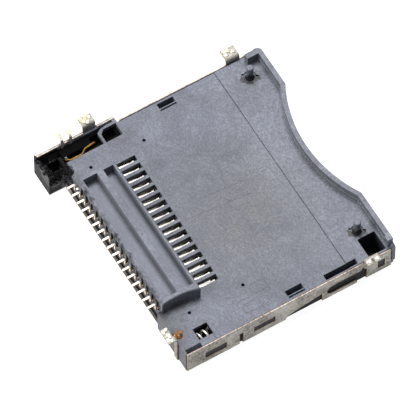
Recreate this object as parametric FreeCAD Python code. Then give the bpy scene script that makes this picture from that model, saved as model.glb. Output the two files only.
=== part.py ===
import FreeCAD, Part
import math
import os

V = FreeCAD.Vector

# A push-push socket for a flat game card, soldered to a board by its rear row of tails and four steel feet.
# X runs across the mouth with 0 on the card's centre line. Y runs along the card with the mouth at +Y and 0
# half-way along the steel cover. Z points to the circuit board, and the steel cover's flat face is at Z = 0.
# "From the side" means from the cover's -X side wall and "from the right" from its +X one. "From the rear" and
# "from the front" mean from the two ends of the side walls.

# The card and the room round it
card_width = 33.0
card_thickness = 3.8
card_side_gap = 0.15
card_flat_gap = 0.3

# The folded steel cover
sheet = 0.2
fold_radius = 0.2
left_rail = 2.8
right_rail = 4.5
cover_length = 35.8
bulge = 1.1
bulge_wall = 0.3
bulge_tail = 2.15
bulge_relief = 0.5
flange_width = 0.55
rear_flange_drop = 0.3
rear_flange_height = 1.5
rear_flange_inset = 0.3
cut_overrun = 1.0

# The moulded housing
plate = 0.8
cover_gap = 0.05
end_block_width = 3.55
end_block_tail = 2.4
rear_inset = 0.7
rear_corner_width = 8.6
rear_corner_tail = 0.1
rear_wall = 0.8
front_reach = 0.6
flange_ear = 0.2
ear_inset = 1.6
ear_bottom = 1.5
ear_rise = 0.9
ear_slope = 0.45
front_step_length = 7.75
front_step_rise = 0.12
joint_line = 0.12

# The lip round the mouth and its finger notch
lip_rise = 2.0
lip_thickness = 0.75
lip_foot = 0.12
lip_foot_rise = 0.75
lip_start = 0.9
lip_end_inset = 0.6
lip_pad_length = 0.9
lip_pad_depth = 0.2
lip_return_width = 0.95
lip_return_length = 2.7
lip_chamfer = 0.45
notch_half_width = 11.12
notch_depth = 2.9
notch_shift = 0.25

# The raised contact block and its two grooves
block_rise = 2.55
block_rear = 0.45
block_length = 6.47
block_left_margin = 0.1
block_right_margin = 1.75
block_edge = 0.15
block_end_radius = 13.0
block_end_waist = 0.62
block_end_middle = 2.45
groove_depth = 1.9
groove_starts = (1.15, 4.7)
groove_widths = (2.45, 1.78)
groove_left_margin = 0.7
groove_right_margin = 1.3

# The contacts
contact_count = 17
contact_pitch = 1.5
row_shift = -0.33
contact_width = 0.32
contact_sheet = 0.2
contact_bend = 0.3
contact_fit = 0.03
contact_rear = 0.1
tail_reach = 1.35
nose_drop = 0.55
tip_rise = 0.15
window_width = 0.95
window_start = 7.1
window_length = 3.75
tip_gap = 0.4
comb_width = 0.66
comb_depth = 0.35
comb_drop = 0.75

# The board: its face above the floor, and the two posts that stand in its holes
board_rise = 1.3
post_radius = 0.55
post_rise = 2.6
post_inset = 0.75
post_shift = -0.05
post_from_front = 3.0
post_chamfer = 0.12
post_flare = 0.2
post_ring = 0.4
post_ring_depth = 0.3
wing_length = 0.35
wing_width = 0.5

# The bay of the push-push mechanism
bay_side = 0.45
bay_width = 3.0
bay_start = 1.0
bay_length = 6.9
channel_width = 1.6
channel_tail = 1.9
side_strip = 0.3
side_strip_inset = 0.3
strip_flare = ((0.95, 0.0), (0.5, 0.7), (0.3, 1.9))
ledge_depth = 1.05
ledge_drop = 0.05
guide_wall = 0.25
guide_start = 7.0
rib_width = 0.4
pocket_length = 2.9
pocket_width = 2.25
pocket_corner = 0.7
well_width = 1.7
well_length = 2.05
well_depth = 3.6
rim_notch_width = 1.1
rim_notch_depth = 0.6

# The ejector slider
travel = 3.2
slide_gap = 0.1
stop_gap = 0.05
bar_length = 1.1
bar_height = 2.1
arm_nose = 0.8
web_thickness = 0.5
head_rear = 12.6
head_length = 2.0
head_bottom = 1.6
peg_radius = 0.5
peg_length = 1.8

# The heart track and the wire that follows it
wire_radius = 0.25
wire_bend = 0.6
pivot_from_side = 1.7
pivot_from_rear = 1.45
pivot_depth = 1.9
follower_from_side = 1.3
follower_from_rear = 7.0
follower_depth = 1.35
wire_waist_side = 2.22
wire_knee_side = 1.6
track_depth = 1.2
track_gap = 0.1
track_swing = 0.9
heart_width = 0.3
heart_length = 1.9
heart_notch = 0.3

# The return spring and its window
spring_radius = 0.82
spring_wire = 0.175
spring_pitch = 1.05
spring_from_right = 2.6
spring_drop = 1.05
spring_end_gap = 0.03
spring_room = 1.45
head_room = 0.6
spring_window_from_right = 3.5
spring_window_width = 2.1
spring_window_start = 2.96
spring_window_length = 2.45
seam_width = 0.12

# The card switch
blade_sheet = 0.15
blade_width = 0.5
blade_from_rear = 2.3
terminal_from_rear = 3.8
blade_reach = 1.45
blade_bottom = 2.1
blade_arm_length = 4.3
blade_arm_height = 0.6
terminal_bottom = 3.0
blade_fit = 0.03
blade_from_wall = 0.13

# Solder feet of the cover: width, and reach beyond the wall
foot_bend = 0.3
rear_foot = (2.2, 1.5)
left_front_foot = (2.4, 1.8)
right_front_foot = (2.4, 1.3)
rear_foot_from_rear = 6.15
front_feet_from_front = 4.95
fork_width = 0.4
fork_length = 0.8
hold_down_from_right = 5.2
hold_down_width = 2.75
hold_down_reach = 1.4
hold_down_leg = 0.85

# Openings in the cover's side walls: start from the rear, or from the front for the last two, then length,
# bottom and top
right_windows = ((3.2, 3.7, 1.4, 3.05), (11.7, 3.7, 1.7, 3.1))
left_windows = ((13.6, 3.7, 1.7, 3.1),)
front_window = (2.35, 1.25, 1.4, 3.35)
barb_gap = 0.12
wall_slit = (9.15, 0.65, 3.25)
long_slot = (11.3, 7.0, 1.1, 3.3)
long_slot_mouth = 1.7
long_slot_nick = (6.1, 0.45, 0.6)
taper_cut = ((7.6, 0.0), (7.1, 0.95), (6.2, 1.4), (0.9, 2.45), (0.7, 0.0))
leaf_spread = 8.0
leaf_width = 2.6
leaf_root = 11.0
leaf_length = 4.6
leaf_lift = 0.45
leaf_slot = 0.4
cover_hole = 0.9
cover_hole_spread = 13.0
cover_hole_from_front = 14.8

# Openings and marks in the housing's floor: start from the right, width, start from the front, length
brake_slot = (1.4, 0.95, 11.2, 5.6)
brake_slot_floor = 1.0
square_window = (4.0, 3.5, 3.65, 3.05)
square_window_floor = 0.5
square_window_radius = 0.25
catch_length = 2.85
catch_width = 0.92
catch_from_left = 0.7
catch_from_right = 2.0
catch_start = 18.2
catch_depth = 1.9
catch_rib = 0.17
catch_ledge = (0.33, 0.35)
pin_mark_radius = 0.28
pin_mark_depth = 0.7
pin_mark_from_side = 5.14
pin_mark_from_right = 6.18
pin_marks_from_rear = (4.05, 13.39)
edge_step = (1.0, 0.2, 2.65)
edge_step_floor = (0.35, 1.2)
bottom_chamfer = 0.17

# Places worked out from the values above
cavity_half = card_width / 2 + card_side_gap
cover_left = -cavity_half - left_rail
cover_right = cavity_half + right_rail
bulge_left = cover_left - bulge
rear = -cover_length / 2
front = cover_length / 2
floor_under = sheet + card_thickness + card_flat_gap
floor_top = floor_under + plate
lip_top = floor_top + lip_rise
front_floor = floor_top + front_step_rise
block_top = floor_top + block_rise
board_face = floor_top + board_rise
mouth_face = front + front_reach
first_contact = row_shift - (contact_count - 1) * contact_pitch / 2
last_contact = first_contact + (contact_count - 1) * contact_pitch
strip_height = floor_under + plate / 3
notch_radius = (notch_half_width ** 2 + notch_depth ** 2) / (2 * notch_depth)
notch_centre = mouth_face - notch_depth + notch_radius
spring_rear = rear_inset + rear_wall
spring_x = cover_right - spring_from_right
spring_height = floor_under - spring_drop
slider_bottom = sheet + slide_gap * 2
slider_top = floor_under - slide_gap
tail_rear = travel - channel_tail + slide_gap * 2
bar_rear = bay_start + ledge_depth + travel + stop_gap
arm_front = follower_from_rear + travel + arm_nose
pocket_end = arm_front + slide_gap * 2
bulge_length = pocket_end + bulge_wall
spring_pocket_end = head_rear + head_length + head_room
post_spread = card_width / 2 - post_inset
post_y = mouth_face - lip_thickness / 2 - post_from_front


def across(distance):
    """X of a place at this distance from the cover's -X side wall."""
    return cover_left + distance


def from_right(distance):
    """X of a place at this distance from the cover's +X side wall."""
    return cover_right - distance


def along(distance):
    """Y of a place at this distance from the rear end of the cover's side walls."""
    return rear + distance


def from_front(distance):
    """Y of a place at this distance from the front end of the cover's side walls."""
    return front - distance


def block(x0, x1, y0, y1, z0, z1):
    """A box between two corners."""
    return Part.makeBox(x1 - x0, y1 - y0, z1 - z0, V(x0, y0, z0))


def column(x, y, z0, z1, radius):
    """An upright cylinder."""
    return Part.makeCylinder(radius, z1 - z0, V(x, y, z0))


def prism(points, z0, z1):
    """An upright prism on an outline of (x, y) points."""
    corners = [V(x, y, z0) for x, y in points]
    outline = Part.makePolygon(corners + corners[:1])
    return Part.Face(outline).extrude(V(0, 0, z1 - z0))


def side_prism(points, x0, x1):
    """A prism along X on an outline of (y, z) points."""
    corners = [V(x0, y, z) for y, z in points]
    outline = Part.makePolygon(corners + corners[:1])
    return Part.Face(outline).extrude(V(x1 - x0, 0, 0))


def join(solids):
    """One solid from several that meet."""
    whole = solids[0].multiFuse(solids[1:]) if len(solids) > 1 else solids[0]
    return whole.removeSplitter()


def bend_data(points, index, radius):
    """Tangent points and centre of the arc that rounds one corner of a path."""
    corner = points[index]
    back = (points[index - 1] - corner).normalize()
    ahead = (points[index + 1] - corner).normalize()
    half = back.getAngle(ahead) / 2
    tangent = radius / math.tan(half)
    middle = (back + ahead).normalize()
    centre = corner + middle * (radius / math.sin(half))
    return corner + back * tangent, corner + ahead * tangent, centre


def rounded_path(points, radius):
    """A wire of straight runs joined by tangent arcs."""
    edges = []
    start = points[0]
    for index in range(1, len(points) - 1):
        entry, leave, centre = bend_data(points, index, radius)
        middle = centre + (points[index] - centre).normalize() * radius
        edges.append(Part.LineSegment(start, entry).toShape())
        edges.append(Part.Arc(entry, middle, leave).toShape())
        start = leave
    edges.append(Part.LineSegment(start, points[-1]).toShape())
    return Part.Wire(edges)


def strip(points, radius, thickness, width):
    """A bent strip of sheet: a centre line, the radius of its bends, its thickness and its width vector."""
    normal = V(width).normalize()
    sides = []
    for sign in (1, -1):
        edges = []
        first = (points[1] - points[0]).normalize().cross(normal) * (sign * thickness / 2)
        start = points[0] + first
        for index in range(1, len(points) - 1):
            entry, leave, centre = bend_data(points, index, radius)
            inward = (entry - centre).normalize()
            offset = (points[index] - points[index - 1]).normalize().cross(normal) * sign
            reach = radius + (thickness / 2 if offset.dot(inward) > 0 else -thickness / 2)
            arc_in = centre + inward * reach
            arc_mid = centre + (points[index] - centre).normalize() * reach
            arc_out = centre + (leave - centre).normalize() * reach
            edges.append(Part.LineSegment(start, arc_in).toShape())
            edges.append(Part.Arc(arc_in, arc_mid, arc_out).toShape())
            start = arc_out
        last = (points[-1] - points[-2]).normalize().cross(normal) * (sign * thickness / 2)
        edges.append(Part.LineSegment(start, points[-1] + last).toShape())
        sides.append(edges)
    ends = []
    for place in (0, -1):
        a = sides[0][place].Vertexes[place].Point
        b = sides[1][place].Vertexes[place].Point
        ends.append(Part.LineSegment(a, b).toShape())
    outline = Part.Wire(Part.__sortEdges__(sides[0] + sides[1] + ends))
    return Part.Face(outline).extrude(width)


def notch_cylinder(extra):
    """The cylinder that cuts the finger notch, its radius changed by extra."""
    return column(notch_shift, notch_centre, -cut_overrun, lip_top + cut_overrun, notch_radius + extra)


def body_outline():
    """The moulding's outline seen from the board, without the skirt and ears outside the cover."""
    left = cover_left + sheet + cover_gap
    right = cover_right - sheet - cover_gap
    wide_left = bulge_left + sheet + cover_gap
    return [(wide_left, along(-end_block_tail)), (across(end_block_width), along(-end_block_tail)),
            (across(end_block_width), along(rear_inset)), (from_right(rear_corner_width), along(rear_inset)),
            (from_right(rear_corner_width), along(-rear_corner_tail)), (right, along(-rear_corner_tail)),
            (right, mouth_face), (left, mouth_face), (left, along(bulge_length)),
            (wide_left, along(bulge_length))]


def waisted_block(right):
    """An upright block over the contacts whose +X end is hollowed along an arc."""
    y0 = along(block_rear)
    waist = V(right - block_end_waist, y0 + block_end_middle, floor_under)
    ends = []
    for y in (y0, y0 + block_length):
        away = y - waist.y
        bow = block_end_radius - math.sqrt(block_end_radius ** 2 - away ** 2)
        ends.append(V(waist.x + bow, y, floor_under))
    left = first_contact - block_left_margin
    rear_left = V(left, y0, floor_under)
    front_left = V(left, y0 + block_length, floor_under)
    edges = [Part.LineSegment(rear_left, ends[0]).toShape(), Part.Arc(ends[0], waist, ends[1]).toShape(),
             Part.LineSegment(ends[1], front_left).toShape(), Part.LineSegment(front_left, rear_left).toShape()]
    return Part.Face(Part.Wire(edges)).extrude(V(0, 0, block_top - floor_under))


def contact_block():
    """The raised block over the contacts, with its chamfered rim, hollowed end and two long grooves."""
    right = last_contact + block_right_margin
    body = waisted_block(right)
    rim = [edge for edge in body.Edges if edge.BoundBox.ZMin > block_top - 0.001]
    body = body.makeChamfer(block_edge, rim)
    left = first_contact - block_left_margin
    for start, width in zip(groove_starts, groove_widths):
        body = body.cut(block(left + groove_left_margin, right - groove_right_margin, along(start),
                              along(start) + width, block_top - groove_depth, block_top + cut_overrun))
    return body


def mouth_lip():
    """The lip along the front edge: a wall on a slight foot that dips round the notch, with a return at -X."""
    left = across(lip_start)
    right = cover_right - lip_end_inset
    inner = mouth_face - lip_thickness
    wall = block(left, right, inner, mouth_face, floor_under, lip_top)
    ring = notch_cylinder(lip_thickness).common(
        block(left, right, mouth_face - notch_depth * 2, mouth_face, floor_under, lip_top))
    back = block(left, left + lip_return_width, mouth_face - lip_return_length, mouth_face, floor_under, lip_top)
    corner = prism([(left, mouth_face), (left + lip_chamfer, mouth_face), (left, mouth_face - lip_chamfer)],
                   floor_top, lip_top + cut_overrun)
    pad = block(right - lip_pad_length, right, inner - lip_pad_depth, mouth_face, floor_under, lip_top)
    foot_top = front_floor + lip_foot_rise
    foot = block(left, right, inner - lip_foot, mouth_face, floor_under, foot_top)
    foot_ring = notch_cylinder(lip_thickness + lip_foot).common(
        block(left, right, mouth_face - notch_depth * 2, mouth_face, floor_under, foot_top))
    return join([wall, ring, back, pad, foot, foot_ring]).cut(corner)


def front_ears():
    """Ears at the two front corners that cover the ends of the steel side walls."""
    right = cover_right + flange_ear
    top = floor_top + ear_rise
    back = front + cover_gap
    ear = block(from_right(ear_inset), right, back, mouth_face, ear_bottom, top)
    corners = [V(right, back, top), V(right, back, top - ear_slope), V(right - ear_slope, back, top)]
    low = [V(right, back, ear_bottom), V(right, back, ear_bottom + ear_slope),
           V(right - ear_slope, back, ear_bottom)]
    for outline in (corners, low):
        slope = Part.Face(Part.makePolygon(outline + outline[:1]))
        ear = ear.cut(slope.extrude(V(0, front_reach, 0)))
    left = cover_left - flange_ear
    small = block(left, across(left_rail / 2), back, mouth_face, ear_bottom, floor_top)
    return join([ear, small])


def rear_skirt():
    """The foot of the end block that comes down behind the cover's rear edge and side wall."""
    return block(bulge_left, across(end_block_width), along(-end_block_tail), along(-bulge_tail) - cover_gap,
                 0, floor_top)


def board_posts():
    """Two posts with chamfered tips and a flared foot in their sunk ring, which stand in the board's holes."""
    posts = []
    for side in (-1, 1):
        x = side * post_spread + post_shift
        post = column(x, post_y, floor_under, floor_top + post_rise, post_radius)
        tip = [edge for edge in post.Edges if edge.BoundBox.ZMin > floor_top + post_rise - 0.001]
        ring_floor = V(x, post_y, front_floor - post_ring_depth)
        foot = Part.makeCone(post_radius + post_flare, post_radius, post_ring_depth, ring_floor)
        posts.append(post.makeChamfer(post_chamfer, tip).fuse(foot))
    return posts


def post_rings():
    """A sunk ring round each post, with two short wings where the mould's pins were."""
    cuts = []
    for side in (-1, 1):
        x = side * post_spread + post_shift
        z0 = front_floor - post_ring_depth
        z1 = floor_top + cut_overrun
        ring = column(x, post_y, z0, z1, post_radius + post_ring)
        reach = post_radius + post_ring + wing_length
        wing = block(x - reach, x + reach, post_y - wing_width / 2, post_y + wing_width / 2, z0, z1)
        wing.rotate(V(x, post_y, 0), V(0, 0, 1), 55)
        cuts.append(ring.fuse(wing))
    return cuts


def bay_cuts():
    """The mechanism bay: a pocket for the slider's arm, its window to the board side, and the end well."""
    x0 = across(-bay_side)
    x1 = x0 + bay_width
    low = -cut_overrun
    high = floor_top + cut_overrun
    ledge_front = along(bay_start + ledge_depth)
    arm_room = block(x0, x1, ledge_front, along(pocket_end), low, floor_under)
    tail_room = block(x0, x0 + channel_width, along(-channel_tail), ledge_front, low, high)
    opening = block(x0, x1, along(bay_start), along(bay_start + bay_length), floor_under - ledge_drop, high)
    window_end = along(bay_start + bay_length)
    flare = [(x0 + out, window_end + ahead) for out, ahead in strip_flare]
    strip_end = along(pocket_end - side_strip_inset)
    side = prism([(x0, window_end)] + flare + [(x0 + side_strip, strip_end), (x0, strip_end)], floor_under, high)
    bar_room = block(x0, -cavity_half + guide_wall, ledge_front, along(guide_start), low, floor_under)
    well_left = x0 + channel_width + guide_wall / 2
    well = block(well_left, well_left + well_width, along(bay_start - guide_wall * 2) - well_length,
                 along(bay_start - guide_wall * 2), floor_top - well_depth, high)
    notch = block(x0, x0 + rim_notch_width, along(-end_block_tail) - cut_overrun, along(-channel_tail),
                  floor_top - rim_notch_depth, high)
    return [arm_room, tail_room, opening, side, bar_room, well, notch]


def five_sided_pocket():
    """The window in front of the bay, with one corner cut off, over the slider's arm."""
    x1 = across(-bay_side) + bay_width
    x0 = x1 - pocket_width
    y0 = along(bay_start + bay_length) + rib_width
    y1 = y0 + pocket_length
    return prism([(x0 + pocket_corner, y0), (x1, y0), (x1, y1), (x0, y1), (x0, y0 + pocket_corner)],
                 floor_under - ledge_drop, floor_top + cut_overrun)


def spring_cuts():
    """The pocket of the return spring and the slider's second arm, and the window over the spring."""
    x0 = cavity_half + guide_wall
    x1 = spring_x + spring_room
    pocket = block(x0, x1, along(spring_rear), along(spring_pocket_end), -cut_overrun, floor_under)
    passage = block(cavity_half - guide_wall, x1, along(spring_rear), along(guide_start), -cut_overrun,
                    floor_under)
    left = from_right(spring_window_from_right)
    right = left + spring_window_width
    end = along(spring_window_start) + spring_window_length
    window = block(left, right, along(spring_window_start), end, floor_under - cut_overrun,
                   floor_top + cut_overrun)
    seam = block(right, cover_right, end - seam_width, end, floor_top - seam_width, floor_top + cut_overrun)
    return [pocket, passage, window, seam]


def spring_seat():
    """The peg on the rear wall that the return spring sits on."""
    start = V(spring_x, along(spring_rear) - rear_wall / 2, spring_height)
    return Part.makeCylinder(peg_radius, peg_length / 2 + rear_wall / 2, start, V(0, 1, 0))


def contact_cuts(x):
    """The slot, window and comb gap of one contact."""
    half = contact_width / 2 + contact_fit
    thick = contact_sheet / 2 + contact_fit
    slot = block(x - half, x + half, along(rear_inset) - cut_overrun, along(window_start) + contact_fit,
                 strip_height - thick, strip_height + thick)
    window = block(x - window_width / 2, x + window_width / 2, along(window_start),
                   along(window_start) + window_length, floor_under - cut_overrun, floor_top + cut_overrun)
    comb = block(x - comb_width / 2, x + comb_width / 2, along(block_rear) - cut_overrun,
                 along(block_rear) + comb_depth, strip_height - thick, block_top - comb_drop)
    return [slot, window, comb]


def switch_cuts():
    """Slots in the thin side wall for the two switch terminals, open towards the bay."""
    x1 = across(-bay_side) + cut_overrun / 2
    x0 = across(-bay_side) - blade_sheet - blade_from_wall
    cuts = []
    for y, bottom in ((blade_from_rear, blade_bottom), (terminal_from_rear, terminal_bottom)):
        half = blade_width / 2 + blade_fit
        cuts.append(block(x0, x1, along(y) - half, along(y) + half, bottom - blade_fit,
                          floor_top + cut_overrun))
    arm = block(x0, x1, along(blade_from_rear), along(blade_from_rear) + blade_arm_length + blade_fit * 3,
                blade_bottom - blade_fit, blade_bottom + blade_arm_height + blade_fit)
    return cuts + [arm]


def floor_openings():
    """The long slot and square window near the +X side, and the two stepped catches by the sides."""
    high = floor_top + cut_overrun
    cuts = []
    for (x, width, y, length), bottom in ((brake_slot, brake_slot_floor),
                                          (square_window, square_window_floor)):
        cut = block(from_right(x), from_right(x) + width, from_front(y), from_front(y) + length, bottom, high)
        upright = [edge for edge in cut.Edges if edge.BoundBox.ZLength > 1]
        cuts.append(cut.makeFillet(square_window_radius, upright) if length < width * 2 else cut)
    y0 = along(catch_start)
    y1 = y0 + catch_length
    ledge_width, ledge_down = catch_ledge
    for x0 in (cover_left + catch_from_left, cover_right - catch_from_right):
        x1 = x0 + catch_width
        cuts.append(block(x0, x1, y0, y1, floor_top - catch_depth, high))
        cuts.append(block(x1 + catch_rib, x1 + catch_rib + ledge_width, y0, y1, floor_top - ledge_down, high))
    return cuts


def small_marks():
    """Four shallow round marks, the sloped step at the rear +X edge, and the fine line of the front step."""
    cuts = []
    for x in (across(pin_mark_from_side), from_right(pin_mark_from_right)):
        for y in pin_marks_from_rear:
            cuts.append(column(x, along(y), floor_top - pin_mark_depth, floor_top + cut_overrun,
                               pin_mark_radius))
    x, y, length = edge_step
    foot, depth = edge_step_floor
    slope = [(from_right(x), floor_top), (from_right(foot), floor_top - depth), (cover_right, floor_top - depth),
             (cover_right, floor_top + cut_overrun), (from_right(x), floor_top + cut_overrun)]
    corners = [V(x, along(y), z) for x, z in slope]
    cuts.append(Part.Face(Part.makePolygon(corners + corners[:1])).extrude(V(0, length, 0)))
    step = mouth_face - front_step_length
    cuts.append(block(cover_left, from_right(brake_slot[0]), step - joint_line, step, floor_top - joint_line,
                      floor_top + cut_overrun))
    return cuts


def wall_windows(side):
    """The start, end, bottom and top of each catch window in one side wall."""
    windows = []
    for y, length, z0, z1 in right_windows if side > 0 else left_windows:
        windows.append((along(y), along(y) + length, z0, z1))
    y, length, z0, z1 = front_window
    windows.append((from_front(y), from_front(y) + length, z0, z1))
    return windows


def catch_barbs():
    """Snap barbs on the rails that sit in the cover's side windows."""
    barbs = []
    for outer, side in ((cover_right, 1), (cover_left, -1)):
        for y0, y1, z0, z1 in wall_windows(side):
            inner = outer - side * (sheet + cover_gap * 2)
            tip = outer - side * barb_gap
            slope = [(inner, z0 + barb_gap), (tip, z0 + barb_gap * 2), (tip, z1 - barb_gap * 2),
                     (inner, z1 - barb_gap)]
            corners = [V(x, y0 + barb_gap, z) for x, z in slope]
            face = Part.Face(Part.makePolygon(corners + corners[:1]))
            barbs.append(face.extrude(V(0, y1 - y0 - barb_gap * 2, 0)))
    return barbs


def housing():
    """The moulded body of the socket."""
    body = prism(body_outline(), sheet, floor_top)
    body = body.makeChamfer(bottom_chamfer, [edge for edge in body.Edges if edge.BoundBox.ZMax < sheet + 0.001])
    step = block(cover_left + sheet + cover_gap, cover_right - sheet - cover_gap,
                 mouth_face - front_step_length, mouth_face, floor_under, front_floor)
    body = join([body, step, contact_block(), mouth_lip(), front_ears(), rear_skirt()])
    cavity = block(-cavity_half, cavity_half, along(spring_rear), mouth_face + cut_overrun, -cut_overrun,
                   floor_under)
    flange_seat = block(bulge_left, bulge_left + flange_width + cover_gap * 2, along(-bulge_tail) - cover_gap,
                        along(bulge_length) + cut_overrun / 2,
                        floor_top - sheet - cover_gap * 2, floor_top + cut_overrun)
    pivot = column(across(pivot_from_side), along(pivot_from_rear), floor_under - ledge_drop - pivot_depth,
                   floor_top, wire_radius + contact_fit)
    cuts = [cavity, flange_seat, pivot, five_sided_pocket(), notch_cylinder(0)]
    cuts += bay_cuts() + spring_cuts() + switch_cuts() + floor_openings() + small_marks() + post_rings()
    for index in range(contact_count):
        cuts += contact_cuts(first_contact + index * contact_pitch)
    body = body.cut(cuts)
    return join([body, spring_seat()] + board_posts() + catch_barbs())


def wall_openings():
    """Windows, slit, slot and tapered cut-out of the +X wall, and the windows of the -X wall."""
    x0 = cover_right - sheet - fold_radius - cover_gap
    x1 = cover_right + cut_overrun
    cuts = []
    for y0, y1, z0, z1 in wall_windows(1):
        cuts.append(block(x0, x1, y0, y1, z0, z1))
    for y0, y1, z0, z1 in wall_windows(-1):
        cuts.append(block(cover_left - cut_overrun, cover_left + sheet + cover_gap, y0, y1, z0, z1))
    y, width, z1 = wall_slit
    cuts.append(block(x0, x1, along(y), along(y) + width, -cut_overrun, z1))
    y, length, z0, z1 = long_slot
    y0 = from_front(y)
    radius = (z1 - z0) / 2
    cuts.append(block(x0, x1, y0 + radius, y0 + length, z0, z1))
    cuts.append(Part.makeCylinder(radius, x1 - x0, V(x0, y0 + radius, z0 + radius), V(1, 0, 0)))
    cuts.append(block(x0, x1, y0 + length - long_slot_mouth, y0 + length, -cut_overrun, z1))
    nick, width, rise = long_slot_nick
    cuts.append(block(x0, x1, y0 + nick, y0 + nick + width, z0, z1 + rise))
    profile = [(y0 - before, z if z > 0 else -cut_overrun) for before, z in taper_cut]
    cuts.append(side_prism(profile, x0, x1))
    return cuts


def leaf_fingers():
    """Two leaves cut free in the cover's plate: the U-shaped cuts, and the lifted tongues."""
    cuts = []
    tongues = []
    for side in (-1, 1):
        x0 = side * leaf_spread - leaf_width / 2
        root = along(leaf_root)
        cuts.append(block(x0 - leaf_slot, x0 + leaf_width + leaf_slot, root - leaf_length - leaf_slot, root,
                          -cut_overrun, sheet + cut_overrun))
        run = [V(x0, root, sheet / 2), V(x0, root - leaf_length / 4, sheet / 2),
               V(x0, root - leaf_length * 0.8, sheet / 2 + leaf_lift), V(x0, root - leaf_length, sheet / 2 + leaf_lift)]
        tongues.append(strip(run, fold_radius * 4, sheet, V(leaf_width, 0, 0)))
    return cuts, tongues


def solder_foot(wall, side, y, foot):
    """A forked foot that rises from a side wall and bends outwards to the board's face."""
    width, reach = foot
    centre = wall - side * sheet / 2
    end = wall + side * reach
    run = [V(centre, y, floor_top - plate), V(centre, y, board_face - sheet / 2), V(end, y, board_face - sheet / 2)]
    leaf = strip(run, foot_bend + sheet / 2, sheet, V(0, width, 0))
    x_fork = end - side * fork_length
    fork = block(min(end, x_fork), max(end, x_fork), y + (width - fork_width) / 2, y + (width + fork_width) / 2,
                 board_face - sheet * 2, board_face + sheet)
    return leaf.cut(fork)


def hold_down():
    """The rear foot: a narrow leg folded up from the cover's plate, and a wide plate on the board's face."""
    x1 = from_right(hold_down_from_right) + hold_down_width
    x0 = x1 - hold_down_leg
    y_leg = along(-rear_corner_tail) - cover_gap - sheet / 2
    run = [V(x0, along(rear_inset), sheet / 2), V(x0, y_leg, sheet / 2), V(x0, y_leg, board_face - sheet / 2),
           V(x0, y_leg - hold_down_reach / 2, board_face - sheet / 2)]
    leg = strip(run, fold_radius + sheet / 2, sheet, V(hold_down_leg, 0, 0))
    inner = y_leg - fold_radius - sheet / 2
    foot = block(from_right(hold_down_from_right), x1, inner - hold_down_reach + fold_radius, inner,
                 board_face - sheet, board_face)
    return join([leg, foot])


def rear_flange():
    """The low flange folded up behind the housing, under the solder tails."""
    x0 = across(end_block_width) + rear_flange_inset
    x1 = from_right(rear_corner_width) - rear_flange_inset
    y = along(rear_inset) - rear_flange_drop
    run = [V(x0, along(rear_inset) + sheet, sheet / 2), V(x0, y, sheet / 2), V(x0, y, rear_flange_height)]
    return strip(run, fold_radius + sheet / 2, sheet, V(x1 - x0, 0, 0))


def cover():
    """The folded steel shell: plate, side walls, in-turned flange, openings, feet and leaves."""
    z = sheet / 2
    radius = fold_radius + sheet / 2
    left = cover_left + sheet / 2
    right = cover_right - sheet / 2
    wide_left = bulge_left + sheet / 2
    run = [V(left, along(bulge_length), floor_top), V(left, along(bulge_length), z),
           V(right, along(bulge_length), z), V(right, along(bulge_length), floor_top)]
    main = strip(run, radius, sheet, V(0, front - along(bulge_length), 0))
    y0 = along(-bulge_tail)
    run = [V(bulge_left + flange_width, y0, floor_top - z), V(wide_left, y0, floor_top - z),
           V(wide_left, y0, z), V(right, y0, z), V(right, y0, floor_top)]
    tail = strip(run, radius, sheet, V(0, along(bulge_length) - y0, 0))
    low = -cut_overrun
    high = floor_top + cut_overrun
    cuts = [block(cover_left - cut_overrun, cover_left + cut_overrun, along(bulge_length),
                  along(bulge_length + bulge_relief), sheet + cover_gap, high),
            block(across(end_block_width), from_right(rear_corner_width), y0 - cut_overrun, along(rear_inset),
                  low, high),
            block(from_right(rear_corner_width) - cover_gap, cover_right + cut_overrun, y0 - cut_overrun, rear,
                  low, high)]
    for y in (blade_from_rear, terminal_from_rear):
        half = blade_width / 2 + cover_gap * 2
        cuts.append(block(bulge_left - cut_overrun, across(0), along(y) - half, along(y) + half,
                          floor_top - sheet - cover_gap, high))
    foot_y = along(rear_foot_from_rear)
    cuts.append(block(bulge_left + sheet, across(0), foot_y - cover_gap * 2,
                      foot_y + rear_foot[0] + cover_gap * 2, floor_top - sheet - fold_radius, high))
    for side in (-1, 1):
        cuts.append(column(side * cover_hole_spread, from_front(cover_hole_from_front), low,
                           sheet + cover_gap, cover_hole))
    leaf_cuts, tongues = leaf_fingers()
    shell = join([main, tail]).cut(cuts + wall_openings() + leaf_cuts + [notch_cylinder(0)])
    front_y = from_front(front_feet_from_front)
    feet = [solder_foot(bulge_left, -1, foot_y, rear_foot), solder_foot(cover_left, -1, front_y, left_front_foot),
            solder_foot(cover_right, 1, front_y, right_front_foot)]
    return join([shell] + feet + tongues + [hold_down(), rear_flange()])


def contact(index):
    """One stamped contact: solder tail, riser, strip through the block, and sprung nose."""
    x = first_contact + index * contact_pitch - contact_width / 2
    foot_height = board_face - contact_sheet / 2
    tip = window_start + window_length - tip_gap
    run = [(contact_rear - tail_reach, foot_height), (contact_rear, foot_height),
           (contact_rear, strip_height), (window_start, strip_height),
           (tip - tip_gap * 1.5, strip_height - nose_drop),
           (tip, strip_height - nose_drop + tip_rise)]
    path = [V(x, along(y), z) for y, z in run]
    return strip(path, contact_bend, contact_sheet, V(contact_width, 0, 0))


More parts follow.
